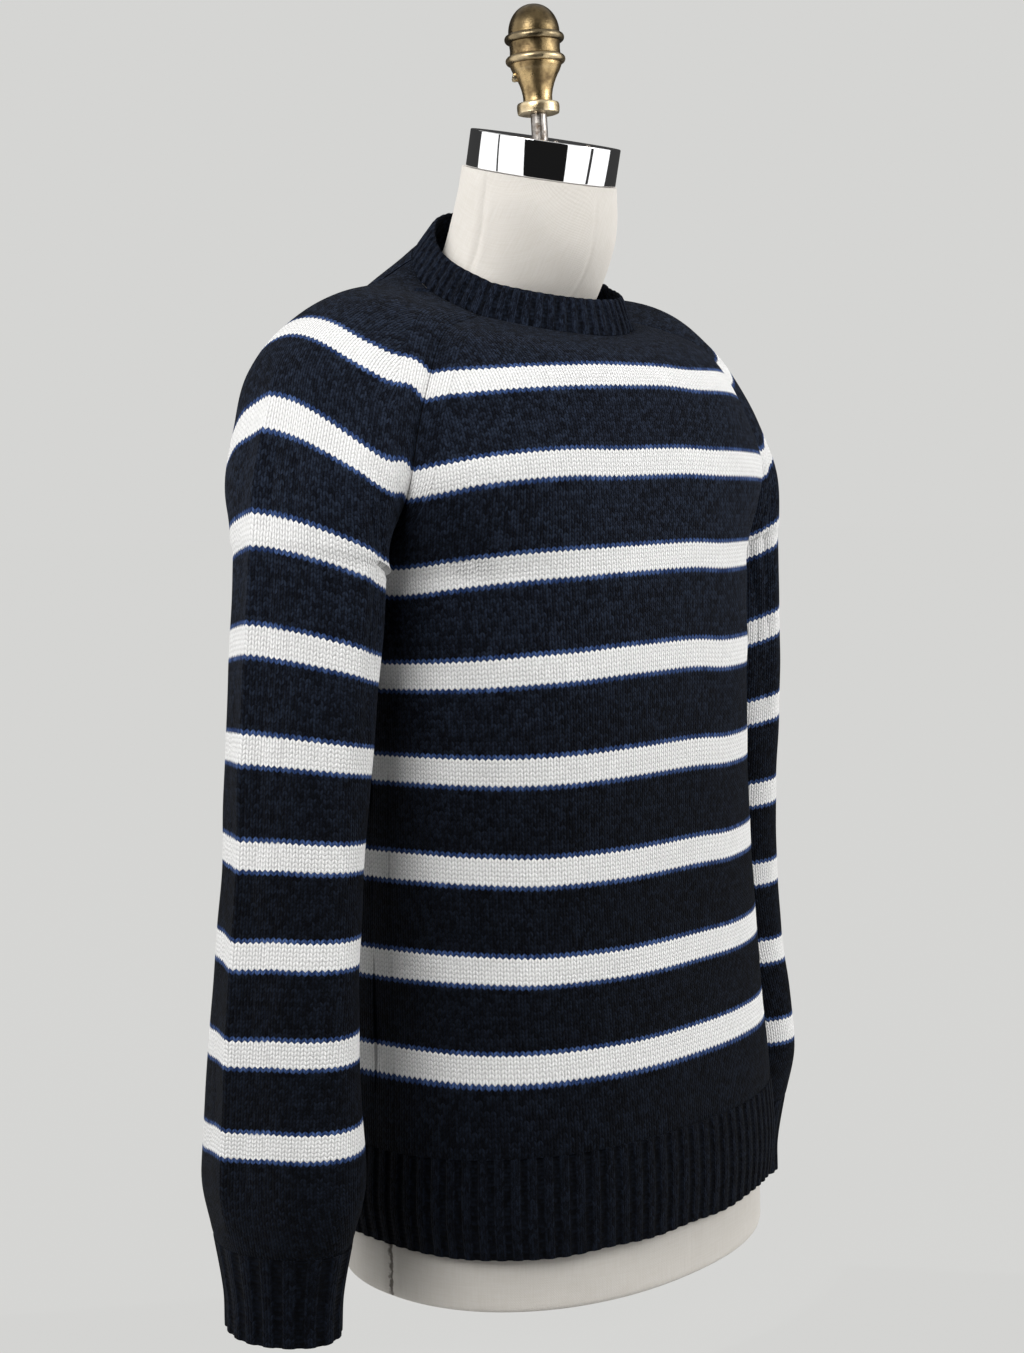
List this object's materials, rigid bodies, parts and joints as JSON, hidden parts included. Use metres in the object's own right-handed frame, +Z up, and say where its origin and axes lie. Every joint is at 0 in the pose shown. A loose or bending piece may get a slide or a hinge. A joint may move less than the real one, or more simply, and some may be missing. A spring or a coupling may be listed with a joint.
{
  "type": "crewneck sweater on a limbless dress form",
  "caption": "Crewneck raglan sweater in a navy and white striped knit, worn on a limbless linen dress form with a neck cap and finial.",
  "frame": {"origin": "middle of the flat underside that the dress form stands on", "axes": "+Z up, the sweater's front faces -Y, the wearer's right arm is on -X"},
  "size_m": [0.5862, 0.2899, 0.9164],
  "materials": {
    "navy_knit": "wool stocking stitch, navy melange with white stripes edged in blue",
    "linen_cover": "plain woven linen, pale",
    "chrome": "polished",
    "steel": "dull steel",
    "brass": "aged, turned",
    "base_wood": "dark stained"
  },
  "bodies": {
    "root": {"front": "navy_knit", "back": "navy_knit", "sleeve_right": "navy_knit", "sleeve_left": "navy_knit", "neckband": "navy_knit", "front_hem_rib": "navy_knit", "back_hem_rib": "navy_knit", "cuff_right": "navy_knit", "cuff_left": "navy_knit", "form_torso": "linen_cover", "form_base": "base_wood", "neck_cap": "chrome", "finial_rod": "steel", "finial": "brass"}
  },
  "joints": []
}
